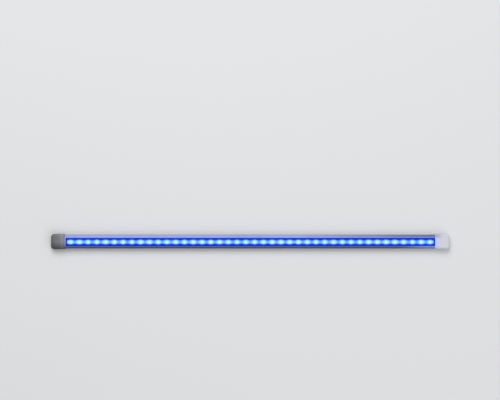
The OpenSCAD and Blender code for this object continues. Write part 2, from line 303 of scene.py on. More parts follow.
def sleeveMaterial():  # painted light and shade on the rails: the upper rail lit and dimming towards the blind end, the lower one shaded and brighter there
    look = Named(
        # the upper rail's colour is painted LED light, the lower rail's is painted shade
        upperRail=tone(148, 159, 203), lowerRail=tone(40, 45, 72), wall=tone(146, 151, 180),
        # painted LED glow on the rails beside the window, and a painted deep-blue shadow line along the
        # upper rail's lip
        nearWindow=tone(134, 158, 226), windowEdge=tone(0, 40, 200), chamber=tone(4, 12, 80),
        edgeWidth=0.24 * mm, edgeSoft=0.1 * mm, chamberDepth=6.5 * mm, wallGap=0.02 * mm,
        # emission of painted LED light spilling into the rails beside the window
        spill=tone(40, 90, 255), spillReach=1.3 * mm, spillStrength=0.44,
        lowerShare=0.33,                            # of the spill, on the lower rail
        sideReach=4 * mm,                           # where the upper rail's painted light has become the lower rail's painted shade
        front=(2.3 * mm, 0.5 * mm),                 # from here to there below the face
        outer=(0.6 * mm, 2.2 * mm),                 # and out from the window
        dimAlong=(0.04, 0.22), dim=(0.64, 0.38),    # painted shade on the upper rail: X, then what is left near the window and far out
        liftAlong=(0.165, 0.205), lift=(2.8, 3.6),  # the same for the painted light where the lower rail brightens
    )
    material, tree = startMaterial("sleeveSilicone")
    _, x, y, z = places(tree)
    skin = skinOn(tree, (0.02, 1, 1), 0.05, 0.6, 0.38)
    across = calc(tree, "SUBTRACT", y, rowY)
    beside = calc(tree, "SUBTRACT", calc(tree, "ABSOLUTE", across), sleeveSizes["windowHalf"] * mm)
    depth = calc(tree, "SUBTRACT", sleeveHigh.z, z)
    inside = times(tree, calc(tree, "LESS_THAN", beside, look.wallGap),
                   calc(tree, "LESS_THAN", depth, look.chamberDepth))
    front = spread(tree, depth, *look.front)
    side = spread(tree, across, -look.sideReach, look.sideReach)  # 0 on the lower rail, 1 on the upper
    fall = calc(tree, "EXPONENT", calc(tree, "DIVIDE", beside, -look.spillReach), clamp=True)
    fall = times(tree, fall, front, spread(tree, side, 0.0, 1.0, look.lowerShare, 1.0))
    # painted light and shade: the lit upper rail, the shaded lower rail, LED glow beside the window and a
    # shadow line at the lip
    rail = mixColours(tree, side, look.lowerRail, look.upperRail)
    rail = mixColours(tree, fall, rail, look.nearWindow)
    onEdge = below(tree, beside, look.edgeWidth, look.edgeSoft)
    rail = mixColours(tree, times(tree, onEdge, side), rail, look.windowEdge)
    outer = spread(tree, beside, *look.outer)

    # painted shade on the upper rail and painted light on the lower rail, changing towards the blind end
    def towardsBlindEnd(along, shares):
        near, far = [spread(tree, x, *along, 1.0, share) for share in shares]
        return mixValues(tree, outer, near, far)

    lift, dim = towardsBlindEnd(look.liftAlong, look.lift), towardsBlindEnd(look.dimAlong, look.dim)
    shade = mixValues(tree, side, lift, dim)
    rail = mixColours(tree, front, look.wall, scaleColour(tree, rail, shade))
    rail = scaleColour(tree, rail, skin["Shade"])
    spill = scaleColour(tree, look.spill, times(tree, fall, look.spillStrength))
    return paint(material, {
        # the chamber's walls are painted deep blue, as the LEDs light them
        "Base Color": mixColours(tree, inside, rail, look.chamber), "Roughness": skin["Roughness"],
        "Emission Color": mixColours(tree, inside, spill, lightOn(tree)), "Emission Strength": 1.0,
        "Specular IOR Level": 0.35,
    }, skin["Height"], 0.05 * mm)


def windowMaterial():
    # the window's deep blue base is painted LED light on clear silicone
    look = Named(silicone=tone(0, 8, 60), opacity=0.4, faceDepth=0.8 * mm)
    material, tree = startMaterial("windowSilicone")
    skin = skinOn(tree, (0.02, 1, 1), 0.04, 0.5, 0.16)
    _, _, _, z = places(tree)
    low, high = windowLow.z + look.faceDepth, windowHigh.z - look.faceDepth
    haze = lightOn(tree, spread(tree, z, low, high, 0.0, glow.hazeCore), glow.hazeLength)
    return paint(material, {
        "Base Color": look.silicone, "Roughness": skin["Roughness"], "Alpha": look.opacity,
        "Emission Color": scaleColour(tree, haze, skin["Shade"]), "Emission Strength": 1.0,
        "Specular IOR Level": 0.15,
    }, skin["Height"], 0.03 * mm)


litFinishes = {  # base colour painted in the LEDs' blue light, tint of the light on it, strength, roughness, metallic
    "ledPackage": ((60, 90, 170), (150, 190, 255), 0.9, 0.45, 0.0),
    "tinnedEnds": ((120, 130, 170), (120, 150, 220), 0.5, 0.3, 0.8),
    "solder": ((130, 140, 180), (130, 160, 230), 0.55, 0.28, 0.8),
    "chipCeramic": ((60, 80, 150), (160, 190, 255), 0.8, 0.5, 0.0),
    "chipCoat": ((10, 14, 40), (70, 100, 170), 0.7, 0.25, 0.0),
}


def litMaterial(name):  # a surface in the lit chamber
    base, tint, strength, roughness, metallic = litFinishes[name]
    material, tree = startMaterial(name)
    spot = places(tree)[0]
    patch = vary(tree, noise(tree, spot, 1400.0), 0.9, 1.08)
    light = product(tree, lightOn(tree), tone(*tint))
    return paint(material, {
        "Base Color": scaleColour(tree, tone(*base), patch), "Roughness": roughness, "Metallic": metallic,
        "Emission Color": scaleColour(tree, light, patch), "Emission Strength": strength * glow.inner,
        "Specular IOR Level": 0.2,
    }, noise(tree, spot, 9000.0), 0.01 * mm)


# the wire cap's grey is painted shade on pale silicone, lighter near the mouth and lavender on the lip with
# painted LED light, with painted shade at the crease, the far end, the lower side and the walls
wireCapLook = Named(
    body=tone(112, 112, 115), nearMouth=tone(140, 139, 152), farEnd=tone(92, 93, 95),
    lip=tone(178, 182, 216), lipDepth=0.7 * mm, lipTop=1.0, wallShade=0.6,
    crease=tone(94, 93, 114), creaseDepth=1.45 * mm, spill=0.45, spillDepth=0.7 * mm,
    lower=(-8.5 * mm, 1.5 * mm), lowerShade=0.28, upperDim=1.0,
)
# the blind cap's pale silicone, bluer near the mouth and on the lip with painted LED light, with painted
# shade at the crease, the top near the mouth and the lower side
blindCapLook = Named(
    body=tone(205, 206, 220), nearMouth=tone(197, 201, 225), farEnd=tone(208, 209, 215),
    lip=tone(166, 176, 212), lipDepth=1.7 * mm, lipTop=0.2, wallShade=0.93,
    crease=tone(194, 199, 223), creaseDepth=2.1 * mm, spill=0.78, spillDepth=1.4 * mm,
    lower=(-8.5 * mm, -5.5 * mm), lowerShade=0.92, upperDim=0.72,
)
capFades = {  # where each change starts and ends, in millimetres
    # in from the mouth, across the strip, up the cap, and away from the crease and the seam
    "body": (2, 9), "farEnd": (9, 16.7), "upperMouth": (10, 2),
    "lipLow": (-6.5, -4.5), "lipTop": (4, 5), "upper": (3, 6), "spill": (6.4, 3.2),
    "lip": (2, 6), "wall": (6, 7.4), "spillHeight": (4, 8),
    "crease": (0.9, 0.1), "seam": (0.09, 0.02),
}


def capMaterial(name, look, mouthX, outward):  # painted light and shade, laid out by the way in from the mouth, by side and by height
    material, tree = startMaterial(name)
    _, x, y, z = places(tree)
    skin = skinOn(tree, (1, 1, 1), 0.03, 0.3, 0.42)

    def fade(value, change, start=0.0, end=1.0):
        low, high = capFades[change]
        return spread(tree, value, low * mm, high * mm, start, end)

    depth = times(tree, calc(tree, "SUBTRACT", x, mouthX), float(outward))
    # the tone from the mouth to the far end: painted LED light near the mouth, and the wire cap's painted
    # shade at its far end
    colour = mixColours(tree, fade(depth, "body"), look.nearMouth, look.body)
    colour = mixColours(tree, fade(depth, "farEnd"), colour, look.farEnd)
    # painted LED light on the lip, where the silicone is thin
    onLip = times(tree, below(tree, depth, look.lipDepth, 0.35 * mm), fade(y, "lipLow", 0.1),
                  fade(y, "lipTop", 1.0, look.lipTop), fade(z, "lip"))
    colour = mixColours(tree, onLip, colour, look.lip)
    # a painted shadow line at the lip's shoulder
    fromCrease = distance(tree, depth, look.creaseDepth)
    colour = mixColours(tree, fade(fromCrease, "crease"), colour, look.crease)
    # painted shade on the lower side, at the top near the mouth and on the walls
    lower = spread(tree, y, *look.lower, look.lowerShade, 1.0)
    upper = times(tree, fade(y, "upper"), fade(depth, "upperMouth"))
    onFront = times(tree, lower, spread(tree, upper, 0.0, 1.0, 1.0, look.upperDim, smooth=False))
    shade = mixValues(tree, fade(z, "wall"), look.wallShade, onFront)
    # painted LED light spilling onto the cap near the mouth
    spill = calc(tree, "EXPONENT", calc(tree, "DIVIDE", depth, -look.spillDepth), clamp=True)
    spill = times(tree, spill, fade(distance(tree, y, rowY), "spill", 0.0, look.spill),
                  fade(z, "spillHeight"))
    seam = fade(distance(tree, z, sleeveLow.z + capSizes["seamHeight"] * mm), "seam", 0.0, 0.6)
    return paint(material, {
        "Base Color": scaleColour(tree, colour, times(tree, skin["Shade"], shade)),
        "Roughness": skin["Roughness"], "Specular IOR Level": 0.35,
        "Emission Color": scaleColour(tree, tone(60, 110, 255), spill), "Emission Strength": 1.0,
    }, calc(tree, "ADD", skin["Height"], seam), 0.05 * mm)


def fillMaterial():
    look = Named(
        base=tone(120, 180, 220), core=tone(224, 255, 255), rest=tone(176, 238, 255),
        strength=1.15, coreRadius=0.35 * mm, restRadius=1.3 * mm,
    )
    material, tree = startMaterial("ledFill")
    _, x, y, _ = places(tree)
    along = fromLed(tree, x, pitch)
    across = calc(tree, "SUBTRACT", y, rowY)
    far = calc(tree, "SQRT", calc(tree, "ADD", times(tree, along, along), times(tree, across, across)))
    share = spread(tree, far, look.coreRadius, look.restRadius)
    return paint(material, {
        "Base Color": look.base, "Roughness": 0.15, "Emission Strength": look.strength,
        "Emission Color": mixColours(tree, share, look.core, look.rest),
    })


def boardMaterial():  # two supply tracks along the edges, a link between the LEDs and a line at each cut
    look = Named(
        # the board's deep blue is painted LED light on its solder mask
        mask=tone(26, 48, 130), track=tone(200, 214, 255), gap=tone(150, 166, 230),
        cutLine=tone(110, 130, 200), supplyY=2.5 * mm, supplyHalf=1.0 * mm, linkHalf=0.7 * mm,
        soft=0.05 * mm, cutHalf=0.08 * mm, cutSoft=0.02 * mm,
    )
    material, tree = startMaterial("circuitBoard")
    spot, x, y, _ = places(tree)
    across = distance(tree, y, rowY)
    supply = below(tree, distance(tree, across, look.supplyY), look.supplyHalf, look.soft)
    link = below(tree, across, look.linkHalf, look.soft)
    copper = calc(tree, "MAXIMUM", supply, link)
    place = calc(tree, "DIVIDE", calc(tree, "ADD", x, ledCount / 2 * pitch), segment)
    fromCut = distance(tree, calc(tree, "FRACT", calc(tree, "ADD", place, 0.5)), 0.5)
    cutLine = below(tree, times(tree, fromCut, segment), look.cutHalf, look.cutSoft)
    tint = mixColours(tree, copper, look.gap, look.track)
    tint = mixColours(tree, cutLine, tint, look.cutLine)
    grain = vary(tree, noise(tree, spot, 3000.0), 0.94, 1.06)
    return paint(material, {
        "Base Color": product(tree, tint, look.mask), "Roughness": 0.35,
        "Emission Color": product(tree, lightOn(tree), scaleColour(tree, tint, grain)),
        "Emission Strength": glow.inner, "Specular IOR Level": 0.2,
    }, copper, 0.02 * mm)


def sealantMaterial():
    look = Named(sealant=tone(196, 198, 202), light=tone(10, 50, 200), strength=0.06)
    endX, reach = windowHigh.x, 1.2 * mm
    material, tree = startMaterial("sealant")
    skin = skinOn(tree, (1, 1, 1), 0.1, 0.3, 0.35)
    _, x, _, _ = places(tree)
    inward = spread(tree, calc(tree, "ABSOLUTE", x), endX + reach, endX, 0.0, look.strength)
    return paint(material, {
        "Base Color": scaleColour(tree, look.sealant, skin["Shade"]), "Roughness": skin["Roughness"],
        "Emission Color": scaleColour(tree, look.light, inward), "Emission Strength": 1.0,
    }, skin["Height"], 0.2 * mm)


def foamMaterial():
    look = Named(foam=tone(74, 76, 80), cell=tone(48, 50, 54), cells=4200.0, fade=(0.15, 0.55))
    material, tree = startMaterial("foamTape")
    share = spread(tree, cells(tree, places(tree)[0], look.cells)["Distance"], *look.fade)
    colour = mixColours(tree, share, look.cell, look.foam)
    return paint(material, {"Base Color": colour, "Roughness": 0.9}, share, 0.05 * mm)


def linerMaterial():
    look = Named(film=tone(186, 34, 30), pale=tone(206, 58, 50), waves=120.0, fine=2600.0)
    material, tree = startMaterial("linerFilm")
    spot = places(tree)[0]
    wave = noise(tree, spot, look.waves, (0.4, 1, 1), detail=3.0)
    fine = noise(tree, spot, look.fine)
    return paint(material, {
        "Base Color": mixColours(tree, spread(tree, wave, 0.35, 0.65), look.film, look.pale),
        "Roughness": vary(tree, wave, 0.28, 0.42),
    }, calc(tree, "ADD", times(tree, wave, 4.0), times(tree, fine, 0.2)), 0.1 * mm)


# Pieces

def arc(centre, radius, start, end, steps):  # points of an arc in the (Y, Z) plane, angles in degrees
    angles = [math.radians(start + (end - start) * k / steps) for k in range(steps + 1)]
    return [(centre[0] + radius * math.cos(a), centre[1] + radius * math.sin(a)) for a in angles]


def roundedRectangle(low, high, radii, steps):  # radii at low-low, high-low, high-high, low-high
    (y0, z0), (y1, z1) = low, high
    a, b, c, d = radii
    return [*arc((y0 + a, z0 + a), a, 180, 270, steps), *arc((y1 - b, z0 + b), b, 270, 360, steps),
            *arc((y1 - c, z1 - c), c, 0, 90, steps), *arc((y0 + d, z1 - d), d, 90, 180, steps)]


def openFront(low, high, backRadius, frontRadius, front):  # a rounded rectangle with its front face redrawn
    outline = roundedRectangle(low, high, (backRadius, backRadius, frontRadius, frontRadius), 10)
    turn = len(outline) * 3 // 4  # the points up to the end of the front corner on the +Y side
    return outline[:turn] + front + outline[turn:]


def meshObject(name, mesh):
    made = bpy.data.objects.new(name, mesh)
    bpy.context.scene.collection.objects.link(made)
    return made


def sectionCurve(name, points):
    curve = bpy.data.curves.new(name, "CURVE")
    curve.dimensions = "2D"
    curve.fill_mode = "NONE"
    spline = curve.splines.new("POLY")
    spline.points.add(len(points) - 1)
    for point, (y, z) in zip(spline.points, points):
        point.co = (y, z, 0, 1)
    spline.use_cyclic_u = True
    return meshObject(name, curve)


def plainMesh(made):  # the mesh as its modifiers leave it
    bpy.context.view_layer.update()
    return bpy.data.meshes.new_from_object(made.evaluated_get(bpy.context.evaluated_depsgraph_get()))


def applyModifiers(made):
    mesh = plainMesh(made)
    made.modifiers.clear()
    made.data = mesh


def runTree(name, tree, values):  # the tree's result as a plain mesh object
    holder = meshObject(name + "Holder", bpy.data.meshes.new(name + "Holder"))
    modifier = holder.modifiers.new("tree", "NODES")
    modifier.node_group = tree
    for label, value in values.items():
        modifier[tree.interface.items_tree[label].identifier] = value
    mesh = plainMesh(holder)
    holder.modifiers.remove(modifier)
    bpy.data.objects.remove(holder)
    mesh.name = name
    return meshObject(name, mesh)


def smooth(made, angle=34):  # soft shading across curves, with the flats kept flat
    made.data.polygons.foreach_set("use_smooth", [True] * len(made.data.polygons))
    made.data.set_sharp_from_angle(angle=math.radians(angle))
    weighted = made.modifiers.new("flats", "WEIGHTED_NORMAL")
    weighted.keep_sharp = True
    applyModifiers(made)


def settle(made, slot, *nodes):
    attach(made, body)
    if nodes:
        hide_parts(*nodes)


def closeTree(tree, result, geometry, material):  # real geometry that wears its material
    real = addNode(tree, "GeometryNodeRealizeInstances", {"Geometry": geometry})
    painted = addNode(tree, "GeometryNodeSetMaterial", {"Geometry": real, "Material": material})
    feed(tree, result["Geometry"], painted)
    return tree


def sweepTree():
    tree, given, result = newGroup("sweepSection", "GeometryNodeTree", {
        "Section": "Object", "Start": "Vector", "End": "Vector", "Rings": "Int", "Material": "Material",
    }, {"Geometry": "Geometry"})
    line = addNode(tree, "GeometryNodeCurvePrimitiveLine", {"Start": given["Start"], "End": given["End"]})
    rings = addNode(tree, "GeometryNodeResampleCurve", {"Curve": line, "Count": given["Rings"]})
    upright = addNode(tree, "GeometryNodeSetCurveNormal", {"Curve": rings}, mode="Z_UP")
    turned = addNode(tree, "GeometryNodeSetCurveTilt", {"Curve": upright, "Tilt": math.pi})
    section = addNode(tree, "GeometryNodeObjectInfo", {"Object": given["Section"]})
    swept = addNode(tree, "GeometryNodeCurveToMesh", {
        "Curve": turned, "Profile Curve": section.outputs["Geometry"], "Fill Caps": True,
    })
    return closeTree(tree, result, swept, given["Material"])


sweepSection = sweepTree()


def sweep(name, points, startX, endX, material, rings=60, tree=sweepSection, **values):
    section = sectionCurve(name + "Section", points)
    made = runTree(name, tree, {
        "Section": section, "Start": (startX, 0, 0), "End": (endX, 0, 0), "Rings": rings,
        "Material": material, **values,
    })
    bpy.data.objects.remove(section)
    smooth(made)
    return made


sleeveSizes = {  # in millimetres, heights above the sleeve's back, widths from the light row
    "frontRadius": 2.2, "backRadius": 0.8, "lipRadius": 0.18, "windowHalf": 4.5, "keyHalf": 5.1,
    "keyLow": 5.0, "keyHigh": 5.7, "mouthHalf": 4.25, "throatHalf": 3.5, "slotHalf": 4.2,
    "slotLow": 1.4, "slotHigh": 1.85,
}


def makeSleeve():
    s = inMetres(sleeveSizes)
    half = (sleeveHigh.y - sleeveLow.y) / 2
    back, top = sleeveLow.z, sleeveHigh.z

    def channelSide(side):  # from the rail's lip down to the board slot
        lip = s.lipRadius
        corners = [(s.windowHalf, s.keyHigh), (s.keyHalf, s.keyHigh), (s.keyHalf, s.keyLow),
                   (s.mouthHalf, s.keyLow), (s.throatHalf, s.slotHigh), (s.slotHalf, s.slotHigh),
                   (s.slotHalf, s.slotLow)]
        inner = arc((s.windowHalf + lip, top - lip), lip, 90, 180, 5)
        inner += [(y, back + z) for y, z in corners]
        return [(rowY + side * y, z) for y, z in inner]

    channel = channelSide(1) + channelSide(-1)[::-1]
    points = openFront((-half, back), (half, top), s.backRadius, s.frontRadius, channel)
    made = sweep("sleeveShell", points, sleeveLow.x, sleeveHigh.x, sleeveMaterial())
    settle(made, "sleeve_silicone", "sleeve")


windowSizes = {  # in millimetres, heights above the sleeve's back, widths from the light row
    "footHalf": 5.07, "footLow": 5.03, "footHigh": 5.67, "neckHalf": 4.47, "edgeZ": 7.0,
    "edgeRadius": 0.16, "crownRise": 0.35,
}


def crownArc(half, rise, top, reach, steps):  # a shallow arc over the window, drawn as far out as its reach
    radius = (half ** 2 + rise ** 2) / (2 * rise)
    lean = math.degrees(math.asin(reach / radius))
    return arc((0, top - radius), radius, 90 - lean, 90 + lean, steps)


def makeWindow():
    s = inMetres(windowSizes)
    back = sleeveLow.z
    reach = s.neckHalf - s.edgeRadius
    edge = arc((reach, back + s.edgeZ - s.edgeRadius), s.edgeRadius, 0, 90, 5)[:-1]
    right = [(s.footHalf, back + s.footLow), (s.footHalf, back + s.footHigh),
             (s.neckHalf, back + s.footHigh)] + edge
    crown = crownArc(s.neckHalf, s.crownRise, back + s.edgeZ + s.crownRise, reach, 24)
    points = right + crown + [(-y, z) for y, z in right[::-1]]
    points = [(rowY + y, z) for y, z in points]
    made = sweep("lightWindow", points, windowLow.x, windowHigh.x, windowMaterial())
    settle(made, "window_silicone", "light_window")


# Rows of small parts on the board

def ringFaces(rings, closed=True):  # quads between rings of as many points
    faces = []
    count = len(rings[0])
    for low, high in zip(rings, rings[1:]):
        for k in range(count if closed else count - 1):
            after = (k + 1) % count
            faces.append((low[k], low[after], high[after], high[k]))
    return faces


def stackMesh(name, layers):  # a solid from outlines of as many (x, y, z) points, lowest first
    count = len(layers[0])
    points = [point for layer in layers for point in layer]
    rings = [[row * count + k for k in range(count)] for row in range(len(layers))]
    mesh = bpy.data.meshes.new(name)
    mesh.from_pydata(points, [], ringFaces(rings) + [tuple(rings[0][::-1]), tuple(rings[-1])])
    return meshObject(name, mesh)


def plate(halfX, halfY, radius, z):  # a rounded rectangle at one height
    return [(x, y, z) for x, y in roundedRectangle((-halfX, -halfY), (halfX, halfY), (radius,) * 4, 4)]


def roundedBlock(name, low, high, radius, steps=2):
    low, high = Vector(low), Vector(high)
    block = bmesh.new()
    bmesh.ops.create_cube(block, size=1.0)
    bmesh.ops.scale(block, vec=high - low, verts=block.verts)
    bmesh.ops.translate(block, vec=(high + low) / 2, verts=block.verts)
    bmesh.ops.bevel(block, geom=block.edges[:], offset=radius, segments=steps, affect="EDGES")
    mesh = bpy.data.meshes.new(name)
    block.to_mesh(mesh)
    block.free()
    return meshObject(name, mesh)


def cutAway(made, *tools):
    for tool in tools:
        cut = made.modifiers.new("cut", "BOOLEAN")
        cut.operation = "DIFFERENCE"
        cut.solver = "EXACT"
        cut.object = tool
    applyModifiers(made)
    for tool in tools:
        bpy.data.objects.remove(tool)
    return made


def joinParts(first, *others):
    joined = bmesh.new()
    for part in (first, *others):
        joined.from_mesh(part.data)
    joined.to_mesh(first.data)
    joined.free()
    for part in others:
        bpy.data.objects.remove(part)
    return first


def shiftPart(part, x, y=0.0):
    part.data.transform(Matrix.Translation((x, y, 0)))
    return part


def rowTree():
    tree, given, result = newGroup("partRow", "GeometryNodeTree", {
        "Part": "Object", "Count": "Int", "Step": "Vector", "First": "Vector",
        "Turn": "Float", "Shift": "Float", "Seed": "Int", "Material": "Material",
    }, {"Geometry": "Geometry"})
    line = addNode(tree, "GeometryNodeMeshLine", {
        "Count": given["Count"], "Start Location": given["First"], "Offset": given["Step"],
    }, mode="OFFSET", count_mode="TOTAL")

    def around(reach, seedStep):  # a random value from -reach to reach, drawn once for each part
        seed = calc(tree, "ADD", given["Seed"], seedStep) if seedStep else given["Seed"]
        feeds = {2: times(tree, reach, -1.0), 3: reach, "Seed": seed}
        return addNode(tree, "FunctionNodeRandomValue", feeds, data_type="FLOAT").outputs[1]

    shift = {"X": around(given["Shift"], 0.0), "Y": around(given["Shift"], 7.0)}
    moved = addNode(tree, "GeometryNodeSetPosition", {
        "Geometry": line, "Offset": addNode(tree, "ShaderNodeCombineXYZ", shift),
    })
    turn = addNode(tree, "ShaderNodeCombineXYZ", {"Z": around(given["Turn"], 3.0)})
    part = addNode(tree, "GeometryNodeObjectInfo", {"Object": given["Part"]})
    placed = addNode(tree, "GeometryNodeInstanceOnPoints", {
        "Points": moved, "Instance": part.outputs["Geometry"], "Rotation": turn,
    })
    return closeTree(tree, result, placed, given["Material"])


partRow = rowTree()


def row(name, part, count, step, firstX, finish, turn=0.0, shift=0.0, seed=5):
    made = runTree(name, partRow, {
        "Part": part, "Count": count, "Step": (step, 0, 0), "First": (firstX, rowY, partsZ),
        "Turn": turn, "Shift": shift, "Seed": seed, "Material": finish,
    })
    bpy.data.objects.remove(part)
    smooth(made, 30)
    return made


ledSizes = {  # in millimetres
    "length": 3.5, "width": 2.8, "height": 0.8, "cornerRadius": 0.12, "edge": 0.06, "rim": 0.4,
    "cupRadius": 0.5, "cupDepth": 0.25, "cupSlope": 0.14, "notch": 0.5, "terminalReach": 0.15,
    "terminalWidth": 1.8, "terminalHeight": 0.25, "terminalEdge": 0.035, "fillGap": 0.02, "meniscus": 0.05,
    "shift": 0.04,
}
meniscusRings = ((0.2, 0.2, 0.36, 0.7), (0.6, 0.5, 0.2, 1))  # insets in X and Y, corner, share of the dip
ledTurn = math.radians(0.8)  # no LED is soldered down quite straight


def makeLeds():
    s = inMetres(ledSizes)
    halfX, halfY, top, edge, slope = s.length / 2, s.width / 2, s.height, s.edge, s.cupSlope
    cupX, cupY, cupRadius = halfX - s.rim, halfY - s.rim, s.cupRadius
    floorZ = top - s.cupDepth

    def outline(inset, z):  # the package from above, with the corner cut that marks the cathode
        r = s.cornerRadius
        x, y, cut = halfX - inset, halfY - inset, s.notch
        points = arc((-x + r, -y + r), r, 180, 270, 3) + arc((x - r, -y + r), r, 270, 360, 3)
        points += [(x, y - cut), (x - cut, y)] + arc((-x + r, y - r), r, 90, 180, 3)
        return [(px, py, z) for px, py in points]

    housing = stackMesh("ledHousing", [
        outline(edge / 2, 0), outline(0, edge), outline(0, top - edge), outline(edge, top),
    ])
    cutAway(housing, stackMesh("ledCup", [
        plate(cupX - slope, cupY - slope, cupRadius - slope, floorZ),
        plate(cupX, cupY, cupRadius, top + 1e-6),  # just past the face, then well past it
        plate(cupX, cupY, cupRadius, top + 0.2 * mm),
    ]))
    gap = s.fillGap
    fillTop = top - gap
    fill = stackMesh("ledFill", [
        plate(cupX - slope - gap, cupY - slope - gap, cupRadius - slope, floorZ + gap / 2),
        plate(cupX - gap, cupY - gap, cupRadius, fillTop),
        *[plate(cupX - insetX * mm, cupY - insetY * mm, corner * mm, fillTop - share * s.meniscus)
          for insetX, insetY, corner, share in meniscusRings],
    ])
    reach, halfEnd = s.terminalReach, s.terminalWidth / 2
    terminals = joinParts(*[
        roundedBlock("ledTerminal", (side * halfX - reach, -halfEnd, 0),
                     (side * halfX + reach, halfEnd, s.terminalHeight), s.terminalEdge)
        for side in (-1, 1)])
    ledNodes = [f"led_{k:02d}" for k in range(1, ledCount + 1)]
    for name, part, finish, slot, *nodes in (
            ("ledHousings", housing, litMaterial("ledPackage"), "led_package", *ledNodes),
            ("ledTerminals", terminals, litMaterial("tinnedEnds"), "led_package"),
            ("ledFills", fill, fillMaterial(), "led_fill", "led_fills")):
        made = row(name, part, ledCount, pitch, firstLed.x, finish, ledTurn, s.shift, 11)
        settle(made, slot, *nodes)


chipSizes = {  # in millimetres, the ceramic's and the coat's faces below the top of the end bands
    "length": 2.0, "width": 1.25, "height": 0.5, "band": 0.4, "bandThickness": 0.04, "bandEdge": 0.05,
    "ceramicFace": 0.05, "ceramicEdge": 0.02, "coatBack": 0.08, "coatFace": 0.015, "coatEdge": 0.03,
}


def makeResistors():
    s = inMetres(chipSizes)
    halfX, halfY, top = s.length / 2, s.width / 2, s.height
    thin, band = s.bandThickness, s.band
    ceramic = roundedBlock("ceramic", (-halfX + thin, -halfY + thin, thin),
                           (halfX - thin, halfY - thin, top - s.ceramicFace), s.ceramicEdge)
    coat = roundedBlock("coat", (-halfX + band, -halfY + thin, top - s.coatBack),
                        (halfX - band, halfY - thin, top - s.coatFace), s.coatEdge)
    bands = [roundedBlock("band", (x, -halfY, 0), (x + band, halfY, top), s.bandEdge, 3)
             for x in (-halfX, halfX - band)]
    for name, part, finish, *nodes in (
            ("resistorBodies", ceramic, "chipCeramic", "chip_resistors"),
            ("resistorCoats", coat, "chipCoat"),
            ("resistorBands", joinParts(*bands), "tinnedEnds")):
        made = row(name, part, segments, segment, resistorLow.x + halfX, litMaterial(finish))
        settle(made, "chip_resistor", *nodes)


jointSizes = {  # in millimetres: length, width and height
    "ledJoints": (0.55, 1.9, 0.2), "resistorJoints": (0.45, 1.3, 0.38), "sunk": 0.03,
}


def solderJoint(length, width, height, outward):  # a concave fillet that runs out along X from its terminal
    across, along = 8, 6
    layers = []
    for k in range(along + 1):
        share = k / along
        rise = height * max((1 - share) ** 2, 0.03)  # never quite flat, so every face has an area
        half = width / 2 * (1 - 0.12 * share ** 2)  # and a little narrower at its far end
        angles = [math.pi * j / across for j in range(across + 1)]
        layer = [(outward * length * share, half * math.cos(a), rise * max(math.sin(a), 0.0) ** 0.35)
                 for a in angles]
        layers.append(layer if outward > 0 else layer[::-1])
    return stackMesh("joint", layers)


def makeJoints():
    ledEnd = ledSizes["length"] / 2 + ledSizes["terminalReach"]
    chipEnd = chipSizes["length"] / 2
    for name, end, count, step, firstX in (
            ("ledJoints", ledEnd, ledCount, pitch, firstLed.x),
            ("resistorJoints", chipEnd, segments, segment, resistorLow.x + chipEnd * mm)):
        sizes = [size * mm for size in jointSizes[name]]
        away = (end - jointSizes["sunk"]) * mm
        pair = [shiftPart(solderJoint(*sizes, side), side * away) for side in (-1, 1)]
        settle(row(name, joinParts(*pair), count, step, firstX, litMaterial("solder")), "circuit_board")


padSizes = {  # in millimetres
    "length": 2.4, "width": 1.6, "height": 0.05, "offset": 2.4, "split": 0.09, "wirePad": 4.0,
    "wireInset": 0.1,
}
padRings = ((0, 0.25, 0), (0, 0.25, 0.5), (0.12, 0.2, 0.86), (0.4, 0.1, 1))  # inset, corner, height's share


def padPart(length, width, height, x, y):  # a tinned pad, thicker in its middle
    layers = [plate(length / 2 - inset * mm, width / 2 - inset * mm, corner * mm, height * share)
              for inset, corner, share in padRings]
    return shiftPart(stackMesh("pad", layers), x, y)


def makeBoard():
    s = inMetres(padSizes)
    board = roundedBlock("circuitBoard", boardLow, (boardHigh.x, boardHigh.y, partsZ), 0.04 * mm)
    board.data.materials.append(boardMaterial())
    smooth(board)
    settle(board, "circuit_board", "circuit_strip")
    width, height, offset, wirePad = s.width, s.height, s.offset, s.wirePad
    halfPad = (s.length - s.split) / 2
    apart = (halfPad + s.split) / 2
    cutPads = [padPart(halfPad, width, height, end * apart, side * offset)
               for side in (-1, 1) for end in (-1, 1)]
    wirePads = [padPart(wirePad, width, height, wirePad / 2, side * offset) for side in (-1, 1)]
    for name, parts, count, step, firstX in (
            ("cutPads", cutPads, segments + 1, segment, firstLed.x - pitch / 2),
            ("wirePads", wirePads, 1, 0.0, boardLow.x + s.wireInset)):
        settle(row(name, joinParts(*parts), count, step, firstX, litMaterial("solder")), "circuit_board")


# End caps, tape and liner

capSizes = {  # in millimetres
    "cornerRadius": 4.0, "frontRadius": 2.6, "backRadius": 1.1, "lipLength": 2.2, "lipDrop": 0.4,
    "shoulder": 0.14, "shoulderWidth": 0.22, "rim": 0.13, "gap": 0.05, "seatBack": 0.85, "seatFront": 2.25,
    "crownHalf": 4.55, "crownRise": 0.35, "reach": 11.0, "pocketLength": 3.2, "pocketWidth": 13.6,
    "pocketHeight": 4.6, "pocketRadius": 1.15, "holeRadius": 1.75, "holeBevel": 0.3, "end": 2.5,
    "seamHeight": 3.5,  # of the mould's parting line, above the sleeve's back
}


